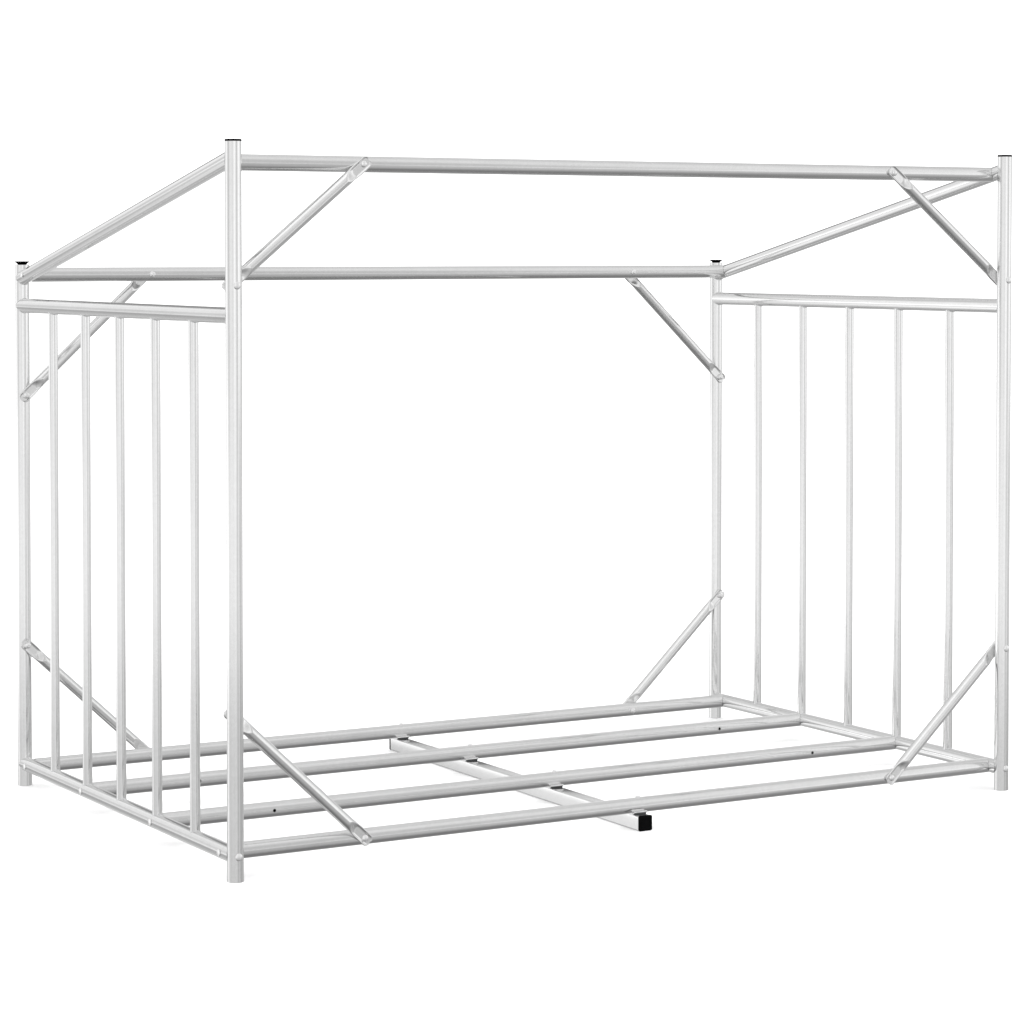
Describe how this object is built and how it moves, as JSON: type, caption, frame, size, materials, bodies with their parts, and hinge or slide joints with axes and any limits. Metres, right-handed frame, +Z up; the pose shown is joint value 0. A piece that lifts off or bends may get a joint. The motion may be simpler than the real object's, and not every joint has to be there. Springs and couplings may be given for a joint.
{
  "type": "hay rack feeder",
  "caption": "Free-standing galvanised tube rack: open front and rear, barred ends, slatted tube floor, braced corners and a top frame sloping down to the rear.",
  "frame": {"origin": "on the ground, at the middle of the four posts", "axes": "+X along the long side, left to right seen from the tall open front; -Y towards the tall front; +Z up"},
  "size_m": [2.0246, 1.2444, 1.5],
  "materials": {
    "galvanised_tube": "bright galvanised",
    "zinc_bolt": "bright zinc plate",
    "black_plastic": "moulded, matt",
    "grey_plastic": "moulded, matt"
  },
  "bodies": {
    "root": {"brace_front_lower_left": "galvanised_tube", "brace_front_lower_right": "galvanised_tube", "brace_front_upper_left": "galvanised_tube", "brace_front_upper_right": "galvanised_tube", "brace_rear_lower_left": "galvanised_tube", "brace_rear_lower_right": "galvanised_tube", "brace_rear_upper_left": "galvanised_tube", "brace_rear_upper_right": "galvanised_tube", "floor_rail_bolt_front_left": "zinc_bolt", "floor_rail_bolt_front_right": "zinc_bolt", "floor_rail_bolt_middle_front_left": "zinc_bolt", "floor_rail_bolt_middle_front_right": "zinc_bolt", "floor_rail_bolt_middle_rear_left": "zinc_bolt", "floor_rail_bolt_middle_rear_right": "zinc_bolt", "floor_rail_bolt_rear_left": "zinc_bolt", "floor_rail_bolt_rear_right": "zinc_bolt", "floor_rail_front": "galvanised_tube", "floor_rail_middle_front": "galvanised_tube", "floor_rail_middle_rear": "galvanised_tube", "floor_rail_rear": "galvanised_tube", "post_cap_front_left": "black_plastic", "post_cap_front_right": "black_plastic", "post_cap_rear_left": "black_plastic", "post_cap_rear_right": "black_plastic", "post_front_left": "galvanised_tube", "post_front_right": "galvanised_tube", "post_rear_left": "galvanised_tube", "post_rear_right": "galvanised_tube", "saddle_bolt_front": "zinc_bolt", "saddle_bolt_middle_front": "zinc_bolt", "saddle_bolt_middle_rear": "zinc_bolt", "saddle_bolt_rear": "zinc_bolt", "saddle_front": "grey_plastic", "saddle_middle_front": "grey_plastic", "saddle_middle_rear": "grey_plastic", "saddle_rear": "grey_plastic", "side_bar_left_1": "galvanised_tube", "side_bar_left_2": "galvanised_tube", "side_bar_left_3": "galvanised_tube", "side_bar_left_4": "galvanised_tube", "side_bar_left_5": "galvanised_tube", "side_bar_right_1": "galvanised_tube", "side_bar_right_2": "galvanised_tube", "side_bar_right_3": "galvanised_tube", "side_bar_right_4": "galvanised_tube", "side_bar_right_5": "galvanised_tube", "side_bottom_rail_left": "galvanised_tube", "side_bottom_rail_right": "galvanised_tube", "side_top_rail_left": "galvanised_tube", "side_top_rail_right": "galvanised_tube", "sloped_rail_left": "galvanised_tube", "sloped_rail_right": "galvanised_tube", "support_bar": "galvanised_tube", "support_bar_cap_front": "black_plastic", "support_bar_cap_rear": "black_plastic", "top_rail_front": "galvanised_tube", "top_rail_rear": "galvanised_tube"}
  },
  "joints": []
}
